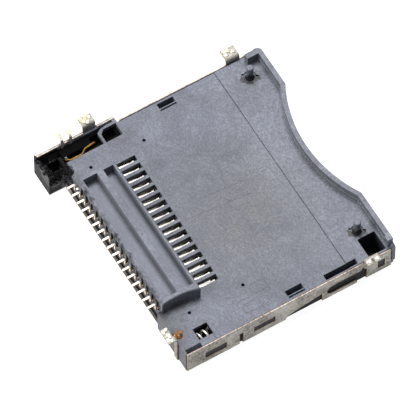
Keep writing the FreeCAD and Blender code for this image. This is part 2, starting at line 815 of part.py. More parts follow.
def heart_track():
    """The track cut in the slider's arm: a straight way in, a heart-shaped island, and a way back."""
    x = across(follower_from_side)
    y = along(follower_from_rear)
    room = wire_radius + track_gap
    track = block(x - track_swing - room, x + room, y - room - track_gap, y + travel + room + track_gap / 2,
                  slider_top - track_depth, slider_top + cut_overrun)
    right = x - room
    left = right - heart_width
    middle = (left + right) / 2
    y0 = y + room + track_gap
    y1 = y0 + heart_length
    slope = heart_length / 4
    island = prism([(middle, y0), (right, y0 + slope), (right, y1), (middle, y1 - heart_notch), (left, y1),
                    (left, y0 + slope)], slider_top - track_depth, slider_top + cut_overrun * 2)
    return track.cut(island)


def ejector_slider():
    """The black U-shaped slider: track arm, bar behind the card, and the arm that the spring pushes."""
    x0 = across(-bay_side) + slide_gap
    x1 = across(-bay_side) + bay_width - slide_gap
    tail_right = across(-bay_side) + channel_width - slide_gap
    arm = block(x0, x1, along(bar_rear), along(arm_front), slider_bottom, slider_top)
    tail = block(x0, tail_right, along(tail_rear), along(bar_rear), slider_bottom, slider_top)
    web0 = cavity_half + guide_wall + slide_gap
    web1 = web0 + web_thickness
    bar = block(x1, web1, along(bar_rear), along(bar_rear) + bar_length, slider_bottom,
                slider_bottom + bar_height)
    web = block(web0, web1, along(bar_rear), along(head_rear + head_length), slider_bottom, slider_top)
    head_right = spring_x + spring_room - slide_gap
    head = block(web1, head_right, along(head_rear), along(head_rear + head_length), head_bottom, slider_top)
    peg = Part.makeCylinder(peg_radius, peg_length + head_length / 2,
                            V(spring_x, along(head_rear) - peg_length, spring_height), V(0, 1, 0))
    return join([arm, tail, bar, web, head, peg]).cut(heart_track())


def cam_wire():
    """The follower wire: a pivot pin at the rear, a cranked run in the bay, and the follower pin."""
    z = floor_under + wire_radius
    pivot_x = across(pivot_from_side)
    pivot_y = along(pivot_from_rear)
    end_x = across(follower_from_side)
    end_y = along(follower_from_rear)
    waist = across(wire_waist_side)
    knee = across(wire_knee_side)
    crank = (pivot_y + end_y) / 2
    pivot_foot = floor_under - ledge_drop - pivot_depth + wire_radius
    points = [V(pivot_x, pivot_y, pivot_foot), V(pivot_x, pivot_y, z), V(waist, pivot_y + wire_bend * 1.3, z),
              V(waist, crank, z), V(knee, crank + wire_bend * 1.3, z), V(end_x, end_y, z),
              V(end_x, end_y, z - follower_depth)]
    path = rounded_path(points, wire_radius * 1.4)
    start = Part.Wire(Part.makeCircle(wire_radius, points[0], V(0, 0, 1)))
    return path.makePipeShell([start], True, False)


def return_spring():
    """The coil spring between the rear wall and the slider's head, at its rest length."""
    y0 = along(spring_rear) + spring_wire + spring_end_gap
    y1 = along(head_rear) - spring_wire - spring_end_gap
    length = y1 - y0
    turns = round(length / spring_pitch)
    coil = Part.makeHelix(length / turns, length, spring_radius)
    section = Part.Wire(Part.makeCircle(spring_wire, V(spring_radius, 0, 0), V(0, 1, 0)))
    spring = Part.Wire(coil).makePipeShell([section], True, True)
    spring.rotate(V(0, 0, 0), V(1, 0, 0), -90)
    spring.translate(V(spring_x, y0, spring_height))
    return spring


def switch_leg(y, bottom):
    """A switch terminal's riser in the thin wall and its foot on the board's face."""
    x = across(-bay_side) - blade_from_wall - blade_sheet / 2 + blade_fit
    y0 = along(y) - blade_width / 2
    z = board_face - blade_sheet / 2
    run = [V(x, y0, bottom), V(x, y0, z), V(bulge_left - blade_reach + bulge / 2, y0, z)]
    return strip(run, foot_bend, blade_sheet, V(0, blade_width, 0))


def detect_blade():
    """The sprung half of the card switch, with its long arm beside the slider."""
    leg = switch_leg(blade_from_rear, blade_bottom)
    x = across(-bay_side) - blade_from_wall - blade_sheet + blade_fit
    arm = block(x, x + blade_sheet, along(blade_from_rear), along(blade_from_rear) + blade_arm_length,
                blade_bottom, blade_bottom + blade_arm_height)
    return join([leg, arm])


def detect_terminal():
    """The fixed half of the card switch."""
    return switch_leg(terminal_from_rear, terminal_bottom)


def main():
    """Builds every piece and writes one file for each."""
    os.makedirs("parts", exist_ok=True)
    pieces = {"housing": housing(), "cover": cover(), "ejector_slider": ejector_slider(),
              "cam_wire": cam_wire(), "return_spring": return_spring(), "detect_blade": detect_blade(),
              "detect_terminal": detect_terminal()}
    for index in range(contact_count):
        pieces["contact_%02d" % (index + 1)] = contact(index)
    for name, shape in pieces.items():
        if shape.ShapeType != "Solid" and len(shape.Solids) == 1:
            shape = shape.Solids[0]
        print(name, len(shape.Solids), shape.isValid(), round(shape.Volume, 3))
        shape.exportStep("parts/" + name + ".step")


main()
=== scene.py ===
import bmesh
import bpy
from mathutils import Matrix, Vector


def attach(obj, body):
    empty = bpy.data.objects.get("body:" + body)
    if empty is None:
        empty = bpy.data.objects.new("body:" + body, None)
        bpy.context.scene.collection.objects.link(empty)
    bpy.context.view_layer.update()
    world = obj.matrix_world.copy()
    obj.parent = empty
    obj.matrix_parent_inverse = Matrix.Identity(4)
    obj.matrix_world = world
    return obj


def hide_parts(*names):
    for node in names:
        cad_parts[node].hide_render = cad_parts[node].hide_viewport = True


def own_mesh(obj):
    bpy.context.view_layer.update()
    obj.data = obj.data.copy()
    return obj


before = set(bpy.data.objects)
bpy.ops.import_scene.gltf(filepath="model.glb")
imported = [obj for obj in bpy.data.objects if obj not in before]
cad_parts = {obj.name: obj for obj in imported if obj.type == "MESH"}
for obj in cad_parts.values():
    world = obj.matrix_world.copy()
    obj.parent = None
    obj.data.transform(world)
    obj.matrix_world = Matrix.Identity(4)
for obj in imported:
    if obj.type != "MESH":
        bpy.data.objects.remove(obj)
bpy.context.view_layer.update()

MM = 0.001
TARGET = Vector((0.744, -2.152, 4.872)) * MM
CAMERA_RIGHT = Vector((0.51137, 0.85936, 0.0))
CAMERA_UP = Vector((-0.74698, 0.44450, 0.49441))
CAMERA_BACK = Vector((0.42488, -0.25283, 0.86923))
CAMERA_DISTANCE = 1129.9 * MM
FRAME_WIDTH = 62.93 * MM
SENSOR_WIDTH = 36.0


def srgb(text):
    """A hex colour as linear red, green, blue and alpha."""
    parts = [int(text[i:i + 2], 16) / 255 for i in (0, 2, 4)]
    linear = [c / 12.92 if c <= 0.04045 else ((c + 0.055) / 1.055) ** 2.4 for c in parts]
    return (*linear, 1.0)


def material(name):
    """An empty node material and its tree."""
    made = bpy.data.materials.new(name)
    made.use_nodes = True
    made.node_tree.nodes.clear()
    return made, made.node_tree


def node(tree, kind, settings=None, **inputs):
    """Adds one node: settings are its properties, inputs are values or the sockets that feed it."""
    made = tree.nodes.new(kind)
    for key, value in (settings or {}).items():
        setattr(made, key, value)
    for key, value in inputs.items():
        numbered = key[0] == "i" and key[1:].isdigit()
        socket = made.inputs[int(key[1:]) if numbered else key.replace("_", " ")]
        if isinstance(value, bpy.types.NodeSocket):
            tree.links.new(value, socket)
        else:
            socket.default_value = value
    return made


camera = bpy.data.cameras.new("camera")
camera.sensor_width = SENSOR_WIDTH
camera.lens = SENSOR_WIDTH * CAMERA_DISTANCE / FRAME_WIDTH
camera.clip_start = 0.05
camera.clip_end = 20.0
camera_object = bpy.data.objects.new("camera", camera)
bpy.context.scene.collection.objects.link(camera_object)
turned = Matrix((CAMERA_RIGHT, CAMERA_UP, CAMERA_BACK)).transposed().to_4x4()
turned.translation = TARGET + CAMERA_BACK * CAMERA_DISTANCE
camera_object.matrix_world = turned
bpy.context.scene.camera = camera_object
bpy.context.scene.view_settings.view_transform = "Standard"

LAMP_DISTANCE = 1.0


def soft_lamp(name, direction, size, watts, tint):
    """A square lamp that faces the socket."""
    lamp = bpy.data.lights.new(name, "AREA")
    lamp.shape = "SQUARE"
    lamp.size = size
    lamp.energy = watts
    lamp.color = srgb(tint)[:3]
    holder = bpy.data.objects.new(name, lamp)
    bpy.context.scene.collection.objects.link(holder)
    direction = Vector(direction).normalized()
    holder.location = direction * LAMP_DISTANCE
    holder.rotation_mode = "QUATERNION"
    holder.rotation_quaternion = direction.to_track_quat("Z", "Y")


soft_lamp("soft_lamp", (-0.3, 0.17, 0.94), 0.42, 10.5, "fafbff")
soft_lamp("side_lamp", (-0.3, -0.75, 0.55), 0.7, 10.0, "fffaf2")


def shows_white(tree):
    """1 on the rays that see white paper: the camera's, and those that metal and glass send on."""
    rays = node(tree, "ShaderNodeLightPath").outputs
    seen = rays["Is Camera Ray"]
    for kind in ("Is Glossy Ray", "Is Transmission Ray"):
        seen = node(tree, "ShaderNodeMath", {"operation": "MAXIMUM"}, i0=seen, i1=rays[kind]).outputs[0]
    return seen


world = bpy.data.worlds.new("pale_room")
world.use_nodes = True
world.node_tree.nodes.clear()
sky = world.node_tree
room = node(sky, "ShaderNodeBackground", Color=srgb("eef2fa"), Strength=0.16)
paper = node(sky, "ShaderNodeBackground", Color=srgb("ffffff"), Strength=1.0)
both = node(sky, "ShaderNodeMixShader", Fac=shows_white(sky), i1=room.outputs[0], i2=paper.outputs[0])
node(sky, "ShaderNodeOutputWorld", Surface=both.outputs[0])
bpy.context.scene.world = world

FLOOR_WIDTH = 6.0
FLOOR_CLEARANCE = 0.02 * MM
floor_mesh = bpy.data.meshes.new("floor")
shape = bmesh.new()
bmesh.ops.create_grid(shape, x_segments=1, y_segments=1, size=FLOOR_WIDTH / 2)
bmesh.ops.translate(shape, verts=shape.verts, vec=(0, 0, -FLOOR_CLEARANCE))
shape.to_mesh(floor_mesh)
shape.free()
floor = bpy.data.objects.new("floor", floor_mesh)
bpy.context.scene.collection.objects.link(floor)
paint, tree = material("matt_white_table")
# Plain grey paint to the light, so that little of it comes back onto the socket, and white paper to the eye.
matt = node(tree, "ShaderNodeBsdfDiffuse", Color=srgb("a0a0a0"))
glow = node(tree, "ShaderNodeEmission", Color=srgb("ffffff"), Strength=0.92)
white = node(tree, "ShaderNodeAddShader", i0=matt.outputs[0], i1=glow.outputs[0])
both = node(tree, "ShaderNodeMixShader", Fac=shows_white(tree), i1=matt.outputs[0], i2=white.outputs[0])
node(tree, "ShaderNodeOutputMaterial", Surface=both.outputs[0])
floor_mesh.materials.append(paint)

# The housing: one moulding in glass-filled liquid crystal polymer, blue-grey and matt. The melt's flow leaves
# fine curling lines and the mould's joints leave hairlines. The soldering left glossy black flux on the end
# block. The corners are painted lighter, partly for rubbed wear and partly as a painted highlight, and
# painted shade and painted light are laid on in places below.
import math

GRAIN_MM = 0.3
CURL_MM = 3.4
CURL_TURNS = 36.0
CLOUD_MM = 7.0
FLUX_BUBBLE_MM = 0.3
FLUX_RELIEF = 0.35 * MM
SKIN_RELIEF = 0.02 * MM
MOULDED_CORNER = 0.08 * MM
PLATE_TOP_MM = 5.1


def per_mm(size_mm):
    """The pattern scale at which one cycle is about this many millimetres."""
    return 1000.0 / size_mm


def dress(names, made):
    """Gives these nodes of the model one material."""
    for name in names:
        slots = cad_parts[name].data.materials
        slots.clear()
        slots.append(made)


def overlap(tree, masks):
    """Where all of several masks meet: their product. A plain number among them is a share."""
    met = masks[0]
    for mask in masks[1:]:
        met = node(tree, "ShaderNodeMath", {"operation": "MULTIPLY"}, i0=met, i1=mask).outputs[0]
    return met


def spot(tree, place, centre_mm, radius_mm, soft_mm):
    """1 inside a ball round this point, 0 outside it, with a soft border."""
    centre = [c * MM for c in centre_mm]
    away = node(tree, "ShaderNodeVectorMath", {"operation": "DISTANCE"}, i0=place, i1=centre)
    return node(tree, "ShaderNodeMapRange", Value=away.outputs["Value"], From_Min=(radius_mm + soft_mm) * MM,
                From_Max=(radius_mm - soft_mm) * MM, To_Min=0.0, To_Max=1.0).outputs[0]


def band(tree, value, low_mm, high_mm, soft_mm):
    """1 between two places on an axis, 0 outside them, with soft borders."""
    sides = []
    for edge_mm, inward in ((low_mm, soft_mm), (high_mm, -soft_mm)):
        side = node(tree, "ShaderNodeMapRange", Value=value, From_Min=(edge_mm - inward) * MM,
                    From_Max=(edge_mm + inward) * MM, To_Min=0.0, To_Max=1.0)
        sides.append(side.outputs[0])
    return overlap(tree, sides)


def largest(tree, masks):
    """The largest of several masks."""
    most = masks[0]
    for mask in masks[1:]:
        most = node(tree, "ShaderNodeMath", {"operation": "MAXIMUM"}, i0=most, i1=mask).outputs[0]
    return most


def stroke(tree, place, start_mm, end_mm, radius_mm, width_mm):
    """1 on a thin line over the floor: straight where the radius is 0, else a loop round the straight."""
    (x0, y0), (x1, y1) = start_mm, end_mm
    length = math.hypot(x1 - x0, y1 - y0) * MM
    way = ((x1 - x0) * MM / length, (y1 - y0) * MM / length, 0.0)
    origin = (x0 * MM, y0 * MM, 0.0)
    start = node(tree, "ShaderNodeVectorMath", {"operation": "SUBTRACT"}, i0=place, i1=origin)
    level = node(tree, "ShaderNodeVectorMath", {"operation": "MULTIPLY"}, i0=start.outputs[0],
                 i1=(1.0, 1.0, 0.0))
    run = node(tree, "ShaderNodeVectorMath", {"operation": "DOT_PRODUCT"}, i0=level.outputs[0], i1=way)
    held = node(tree, "ShaderNodeClamp", Value=run.outputs["Value"], Min=0.0, Max=length)
    near = node(tree, "ShaderNodeVectorMath", {"operation": "SCALE"}, i0=way, Scale=held.outputs[0])
    away = node(tree, "ShaderNodeVectorMath", {"operation": "DISTANCE"}, i0=level.outputs[0],
                i1=near.outputs[0])
    off = node(tree, "ShaderNodeMath", {"operation": "SUBTRACT"}, i0=away.outputs["Value"], i1=radius_mm * MM)
    size = node(tree, "ShaderNodeMath", {"operation": "ABSOLUTE"}, i0=off.outputs[0])
    return node(tree, "ShaderNodeMapRange", Value=size.outputs[0], From_Min=width_mm * MM,
                From_Max=width_mm * 0.3 * MM, To_Min=0.0, To_Max=1.0).outputs[0]


def edge_turn(tree, radius, soft_from, soft_to, share):
    """A rounded normal and how far it turns from the flat one: a mask of the edges."""
    soft = node(tree, "ShaderNodeBevel", {"samples": 8}, Radius=radius)
    flat = node(tree, "ShaderNodeNewGeometry")
    turn = node(tree, "ShaderNodeVectorMath", {"operation": "DOT_PRODUCT"}, i0=soft.outputs[0],
                i1=flat.outputs["Normal"])
    mask = node(tree, "ShaderNodeMapRange", Value=turn.outputs["Value"], From_Min=soft_from, From_Max=soft_to,
                To_Min=0.0, To_Max=share)
    return soft.outputs[0], mask.outputs[0], flat.outputs["Normal"]


def burnt_flux(tree, place, normal):
    """Burnt flux: a black glass full of small bubbles, whose crowns catch the lamp as white points."""
    bubbles = node(tree, "ShaderNodeTexVoronoi", Vector=place, Scale=per_mm(FLUX_BUBBLE_MM))
    coarse = node(tree, "ShaderNodeTexNoise", Vector=place, Scale=per_mm(FLUX_BUBBLE_MM * 2.5), Detail=3.0)
    lump = node(tree, "ShaderNodeMath", {"operation": "ADD"}, i0=bubbles.outputs["Distance"],
                i1=coarse.outputs["Fac"])
    bump = node(tree, "ShaderNodeBump", Strength=1.0, Distance=FLUX_RELIEF, Height=lump.outputs[0],
                Normal=normal)
    return node(tree, "ShaderNodeBsdfPrincipled", Base_Color=srgb("0b0a0a"), Roughness=0.2, IOR=1.22,
                Normal=bump.outputs[0]).outputs[0]


moulding, tree = material("moulded_liquid_crystal_polymer")
place = node(tree, "ShaderNodeTexCoord").outputs["Object"]
at_x, at_y, at_z = node(tree, "ShaderNodeSeparateXYZ", Vector=place).outputs
# Clouds of slightly darker and lighter plastic, wide and faint, so that no large face is one flat tone.
cloud = node(tree, "ShaderNodeTexNoise", Vector=place, Scale=per_mm(CLOUD_MM), Detail=5.0, Roughness=0.6,
             Distortion=1.2)
cloud_tone = node(tree, "ShaderNodeValToRGB", Fac=cloud.outputs["Fac"])
for element, (position, text) in zip(cloud_tone.color_ramp.elements, ((0.34, "494c56"), (0.66, "616571"))):
    element.position, element.color = position, srgb(text)
# The middle of the floor is mixed to a warmer grey, and towards the mouth the plastic is painted lighter: a
# painted sheen that grows towards the mouth.
middle = spot(tree, place, (4.0, 2.0, PLATE_TOP_MM), 7.0, 9.0)
uneven = node(tree, "ShaderNodeMapRange", Value=cloud.outputs["Fac"], From_Min=0.38, From_Max=0.56,
              To_Min=0.3, To_Max=1.0)
warmed = node(tree, "ShaderNodeMixRGB", Fac=overlap(tree, [middle, uneven.outputs[0]]),
              Color1=cloud_tone.outputs["Color"], Color2=srgb("555556"))
painted_front_sheen = overlap(tree, [band(tree, at_y, 7.8, 40.0, 2.6), 0.28])
toned = node(tree, "ShaderNodeMixRGB", Fac=painted_front_sheen, Color1=warmed.outputs[0], Color2=srgb("777b85"))
# Curling flow lines a few tenths of a millimetre wide, and the mould's spark-eroded grain: a stone-like skin.
curl = node(tree, "ShaderNodeTexNoise", Vector=place, Scale=per_mm(CURL_MM), Detail=8.0, Roughness=0.62,
            Distortion=2.6)
turns = node(tree, "ShaderNodeMath", {"operation": "MULTIPLY"}, i0=curl.outputs["Fac"], i1=CURL_TURNS)
lines = node(tree, "ShaderNodeMath", {"operation": "SINE"}, i0=turns.outputs[0])
grain = node(tree, "ShaderNodeTexNoise", Vector=place, Scale=per_mm(GRAIN_MM), Detail=4.0, Roughness=0.65)
lined = node(tree, "ShaderNodeMapRange", Value=lines.outputs[0], From_Min=-1.0, From_Max=1.0, To_Min=0.85,
             To_Max=1.15)
grained = node(tree, "ShaderNodeMapRange", Value=grain.outputs["Fac"], From_Min=0.32, From_Max=0.68,
               To_Min=0.72, To_Max=1.28)
skin = node(tree, "ShaderNodeMixRGB", {"blend_type": "MULTIPLY"}, Fac=1.0, Color1=toned.outputs[0],
            Color2=overlap(tree, [lined.outputs[0], grained.outputs[0]]))
# Straight hairlines where the mould's plates met, and loops round its inserts: start, end and loop's radius.
HAIRLINES_MM = (((0.78, -7.1), (1.87, 4.6), 0.0), ((-1.11, -2.5), (-0.47, 5.1), 0.0),
                ((18.03, -5.89), (17.5, -1.11), 0.0), ((17.17, -6.69), (17.27, -2.14), 0.0),
                ((19.43, -6.65), (19.87, -2.36), 0.0), ((18.73, -6.0), (18.8, -3.0), 0.72),
                ((14.71, -16.06), (14.92, -12.69), 0.0), ((15.76, -15.63), (16.0, -14.56), 0.0),
                ((16.3, -3.2), (16.35, -1.6), 0.8))
HAIRLINE_WIDTH_MM = 0.09
hairs = largest(tree, [stroke(tree, place, start, end, radius, HAIRLINE_WIDTH_MM)
                       for start, end, radius in HAIRLINES_MM])
marked = node(tree, "ShaderNodeMixRGB", Fac=overlap(tree, [hairs, 0.5]), Color1=skin.outputs[0],
              Color2=srgb("1d1f25"))
# Lighter corners: partly rubbed wear, partly a painted highlight along the edges.
soft, edges, flat_normal = edge_turn(tree, MOULDED_CORNER, 0.98, 0.78, 0.6)
patchy = node(tree, "ShaderNodeMapRange", Value=cloud.outputs["Fac"], From_Min=0.35, From_Max=0.6,
              To_Min=0.55, To_Max=1.0)
colour = node(tree, "ShaderNodeMixRGB", Fac=overlap(tree, [edges, patchy.outputs[0]]),
              Color1=marked.outputs[0], Color2=srgb("a9adb6"))
# Inside the grooves the faces that do not look along +X are painted paler than outside: painted light that
# lifts the shade of the grooves' walls.
sides = node(tree, "ShaderNodeSeparateXYZ", Vector=flat_normal)
end_on = node(tree, "ShaderNodeMapRange", Value=sides.outputs["X"], From_Min=0.0, From_Max=0.7, To_Min=0.46,
              To_Max=0.0)
painted_groove_light = overlap(tree, [band(tree, at_z, 5.25, 7.62, 0.05), band(tree, at_y, -30.0, -6.0, 0.2),
                        end_on.outputs[0]])
colour = node(tree, "ShaderNodeMixRGB", Fac=painted_groove_light, Color1=colour.outputs[0], Color2=srgb("8b8f9a"))
# The side walls behind the cover's windows are darkened as painted shade, the bosses that fill some of them
# less so. Two pockets get painted shade too, at the mouth's corner and over the return spring: from x to x
# and from y to y.
HOUSING_CENTRE_MM = 0.2
SIDE_WALL_MM, BOSS_MM = 20.72, 20.8
DARK_POCKETS_MM = ((15.8, 20.4, 12.9, 17.8), (17.2, 20.0, -15.3, -12.1))
outward = node(tree, "ShaderNodeMath", {"operation": "ABSOLUTE"}, i0=sides.outputs["X"])
centred = node(tree, "ShaderNodeMath", {"operation": "SUBTRACT"}, i0=at_x, i1=HOUSING_CENTRE_MM * MM)
aside = node(tree, "ShaderNodeMath", {"operation": "ABSOLUTE"}, i0=centred.outputs[0])
shade = node(tree, "ShaderNodeMapRange", Value=aside.outputs[0], From_Min=SIDE_WALL_MM * MM,
             From_Max=BOSS_MM * MM, To_Min=0.94, To_Max=0.66)
upright = node(tree, "ShaderNodeMapRange", Value=outward.outputs[0], From_Min=0.7, From_Max=0.95, To_Min=0.0,
               To_Max=1.0)
walls = overlap(tree, [upright.outputs[0], shade.outputs[0], band(tree, aside.outputs[0], 20.5, 30.0, 0.1),
                       band(tree, at_y, -19.9, 17.6, 0.2), band(tree, at_z, -5.0, 4.8, 0.2)])
pockets = [overlap(tree, [band(tree, at_x, x0, x1, 0.1), band(tree, at_y, y0, y1, 0.1),
                          band(tree, at_z, -5.0, 4.9, 0.05), 0.85])
           for x0, x1, y0, y1 in DARK_POCKETS_MM]
painted_hollow_shade = largest(tree, [walls, *pockets])
colour = node(tree, "ShaderNodeMixRGB", Fac=painted_hollow_shade, Color1=colour.outputs[0], Color2=srgb("17181c"))
# Burnt flux on the end block, and dull brown smudge marks by the tails and at the rear corner; the low one at
# the rear corner, under the hold-down foot, is painted shade: centre, radius and, for the smudge marks,
# border.
CRUST_MM = (((-19.9, -18.9, 5.1), 1.1), ((-18.6, -17.6, 5.0), 1.7), ((-17.2, -18.6, 4.8), 1.8),
            ((-15.9, -17.8, 4.6), 1.6), ((-16.8, -19.8, 3.6), 1.7), ((-14.6, -17.6, 4.0), 1.0),
            ((-16.9, -18.6, 2.2), 1.6))
CRUST_BORDER_MM = 0.15
SMUDGES_MM = (((17.0, -18.1, 4.8), 1.8, 1.3), ((13.2, -18.4, 4.8), 1.5, 1.2), ((14.2, -17.4, 5.1), 1.3, 0.9),
              ((12.4, -15.6, 5.0), 1.2, 1.0), ((13.4, -14.6, 5.1), 1.1, 0.9), ((-13.2, -17.0, 5.0), 1.0, 0.8),
              ((15.3, -15.2, 5.1), 0.35, 0.2), ((17.5, -16.4, 5.1), 0.3, 0.2), ((16.6, -15.9, 5.1), 0.3, 0.2),
              ((12.3, -17.6, 4.9), 0.7, 0.3), ((-19.0, -19.0, 1.5), 2.0, 1.5), ((17.4, -17.9, 1.0), 1.2, 1.0))
TEAR_MM = 1.1
TEAR_REACH = 2.6 * MM
stray = node(tree, "ShaderNodeTexNoise", Vector=place, Scale=per_mm(TEAR_MM), Detail=4.0, Roughness=0.65)
wander = node(tree, "ShaderNodeVectorMath", {"operation": "SUBTRACT"}, i0=stray.outputs["Color"],
              i1=(0.5, 0.5, 0.5))
wander = node(tree, "ShaderNodeVectorMath", {"operation": "SCALE"}, i0=wander.outputs[0], Scale=TEAR_REACH)
ragged = node(tree, "ShaderNodeVectorMath", {"operation": "ADD"}, i0=place, i1=wander.outputs[0]).outputs[0]
crust = largest(tree, [spot(tree, ragged, centre, radius, CRUST_BORDER_MM) for centre, radius in CRUST_MM])
smudges_and_shade = largest(tree, [spot(tree, ragged, centre, radius, border) for centre, radius, border in SMUDGES_MM])
# The burnt film on the end block's walls, a dark line in the seam along the cover, and painted shade on the
# rear face by the tails.
film = overlap(tree, [band(tree, at_x, -30.0, -15.5, 0.4), band(tree, at_y, -30.0, -18.1, 0.2)])
seam = overlap(tree, [band(tree, at_x, -19.3, -19.07, 0.03), band(tree, at_y, -6.0, 18.0, 0.3)])
_, torn_y, torn_z = node(tree, "ShaderNodeSeparateXYZ", Vector=ragged).outputs
tails = overlap(tree, [band(tree, at_x, -13.2, 12.6, 0.4), band(tree, torn_y, -30.0, -17.35, 0.3),
                       band(tree, torn_z, 4.2, 30.0, 0.6)])
stain_and_shade = overlap(tree, [largest(tree, [film, seam, tails]), 0.88])
dull = node(tree, "ShaderNodeMixRGB", Fac=overlap(tree, [smudges_and_shade, 0.6]), Color1=colour.outputs[0],
            Color2=srgb("24211f"))
filmed = node(tree, "ShaderNodeMixRGB", Fac=stain_and_shade, Color1=dull.outputs[0], Color2=srgb("17181b"))
# Old glue round the foot of each post is black and torn: its patches' offsets from the post, and radius.
POSTS_MM = ((-15.8, 15.125), (15.7, 15.125))
GLUE_MM = ((0.35, -0.25, 0.95), (0.1, -1.1, 0.6), (1.05, 0.6, 0.6))
glue = largest(tree, [spot(tree, ragged, (x + dx, y + dy, PLATE_TOP_MM), radius, 0.12)
                      for x, y in POSTS_MM for dx, dy, radius in GLUE_MM])
glued = node(tree, "ShaderNodeMixRGB", Fac=glue, Color1=filmed.outputs[0], Color2=srgb("101114"))
rough = node(tree, "ShaderNodeMapRange", Value=grain.outputs["Fac"], From_Min=0.3, From_Max=0.7, To_Min=0.56,
             To_Max=0.44)
# Stains, and the places painted as shade, have lost the plastic's sheen.
sheen = node(tree, "ShaderNodeMapRange", Value=largest(tree, [stain_and_shade, painted_hollow_shade]), From_Min=0.0, From_Max=1.0,
             To_Min=1.45, To_Max=1.12)
bump = node(tree, "ShaderNodeBump", Strength=0.3, Distance=SKIN_RELIEF, Height=grain.outputs["Fac"],
            Normal=soft)
ripple = node(tree, "ShaderNodeBump", Strength=0.2, Distance=SKIN_RELIEF, Height=lines.outputs[0],
              Normal=bump.outputs[0])
plastic = node(tree, "ShaderNodeBsdfPrincipled", Base_Color=glued.outputs[0], Roughness=rough.outputs[0],
               IOR=sheen.outputs[0], Normal=ripple.outputs[0])
coated = node(tree, "ShaderNodeMixShader", Fac=crust, i1=plastic.outputs[0], i2=burnt_flux(tree, place, soft))
node(tree, "ShaderNodeOutputMaterial", Surface=coated.outputs[0])
dress(["housing"], moulding)

# The cover: sheet steel, tin-plated and folded. Its walls are dulled to a warm grey and peppered with fine
# dark specks where the plating has gone, and the punched edges show bare copper-toned metal.
SPECK_MM = 0.3
STAIN_MM = 2.5
BRUSHED_MM = 0.12
SPECK_RELIEF = 0.03 * MM
BRUSHED_RELIEF = 0.01 * MM
PUNCHED_EDGE = 0.1 * MM

steel, tree = material("tin_plated_sheet_steel")
place = node(tree, "ShaderNodeTexCoord").outputs["Object"]
specks = node(tree, "ShaderNodeTexNoise", Vector=place, Scale=per_mm(SPECK_MM), Detail=4.0, Roughness=0.7)
stain = node(tree, "ShaderNodeTexNoise", Vector=place, Scale=per_mm(STAIN_MM), Detail=4.0, Roughness=0.6)
drawn = node(tree, "ShaderNodeMapping", Vector=place, Scale=(1.0, 0.08, 1.0))
brushed = node(tree, "ShaderNodeTexNoise", Vector=drawn.outputs[0], Scale=per_mm(BRUSHED_MM), Detail=2.0)
plate_tone = node(tree, "ShaderNodeValToRGB", Fac=stain.outputs["Fac"])
for element, (position, text) in zip(plate_tone.color_ramp.elements, ((0.35, "8d8982"), (0.65, "b6b3ac"))):
    element.position, element.color = position, srgb(text)
peppered = node(tree, "ShaderNodeMapRange", Value=specks.outputs["Fac"], From_Min=0.41, From_Max=0.53,
                To_Min=0.76, To_Max=0.0)
patches = node(tree, "ShaderNodeMapRange", Value=stain.outputs["Fac"], From_Min=0.38, From_Max=0.6,
               To_Min=1.0, To_Max=0.35)
spotted = node(tree, "ShaderNodeMixRGB", Fac=overlap(tree, [peppered.outputs[0], patches.outputs[0]]),
               Color1=plate_tone.outputs["Color"], Color2=srgb("4b4640"))
soft, edge, _ = edge_turn(tree, PUNCHED_EDGE, 0.99, 0.85, 0.95)
bare = node(tree, "ShaderNodeMixRGB", Fac=stain.outputs["Fac"], Color1=srgb("9a561f"), Color2=srgb("d39152"))
colour = node(tree, "ShaderNodeMixRGB", Fac=edge, Color1=spotted.outputs[0], Color2=bare.outputs[0])
# The strip under the contact tails is painted dark: painted shade under the tails.
at_x, at_y, at_z = node(tree, "ShaderNodeSeparateXYZ", Vector=place).outputs
painted_tail_shade = overlap(tree, [band(tree, at_x, -14.0, 14.0, 0.5), band(tree, at_y, -30.0, -17.0, 0.2), 0.8])
colour = node(tree, "ShaderNodeMixRGB", Fac=painted_tail_shade, Color1=colour.outputs[0], Color2=srgb("211d19"))
# Solder has wetted the feet, which stand above everything else: clean of specks and less mirror-like.
wetted = node(tree, "ShaderNodeMapRange", Value=at_z, From_Min=5.6 * MM, From_Max=6.1 * MM, To_Min=0.0,
              To_Max=0.85)
solder_tone = node(tree, "ShaderNodeMixRGB", Fac=specks.outputs["Fac"], Color1=srgb("736f65"),
                   Color2=srgb("b5b1a5"))
soldered = node(tree, "ShaderNodeMixRGB", Fac=wetted.outputs[0], Color1=colour.outputs[0],
                Color2=solder_tone.outputs[0])
mirror = node(tree, "ShaderNodeMapRange", Value=edge, From_Min=0.0, From_Max=1.0, To_Min=0.75, To_Max=0.15)
clean = node(tree, "ShaderNodeMapRange", Value=wetted.outputs[0], From_Min=0.0, From_Max=1.0, To_Min=1.0,
             To_Max=0.4)
metalness = overlap(tree, [mirror.outputs[0], clean.outputs[0]])
rough = node(tree, "ShaderNodeMapRange", Value=specks.outputs["Fac"], From_Min=0.35, From_Max=0.6,
             To_Min=0.75, To_Max=0.56)
bump = node(tree, "ShaderNodeBump", Strength=0.4, Distance=SPECK_RELIEF, Height=specks.outputs["Fac"],
            Normal=soft)
lines = node(tree, "ShaderNodeBump", Strength=0.12, Distance=BRUSHED_RELIEF, Height=brushed.outputs["Fac"],
             Normal=bump.outputs[0])
metal = node(tree, "ShaderNodeBsdfPrincipled", Base_Color=soldered.outputs[0], Metallic=metalness,
             Roughness=rough.outputs[0], Normal=lines.outputs[0])
node(tree, "ShaderNodeOutputMaterial", Surface=metal.outputs[0])
dress(["cover"], steel)

# The contacts and the switch's two halves: phosphor bronze strip, stamped, bent and tin-plated. The plating
# is satin and cream-white, and the sheared sides show the bronze.
HAZE_MM = 1.4
HAZE_RELIEF = 0.02 * MM
STRIP_EDGE = 0.04 * MM


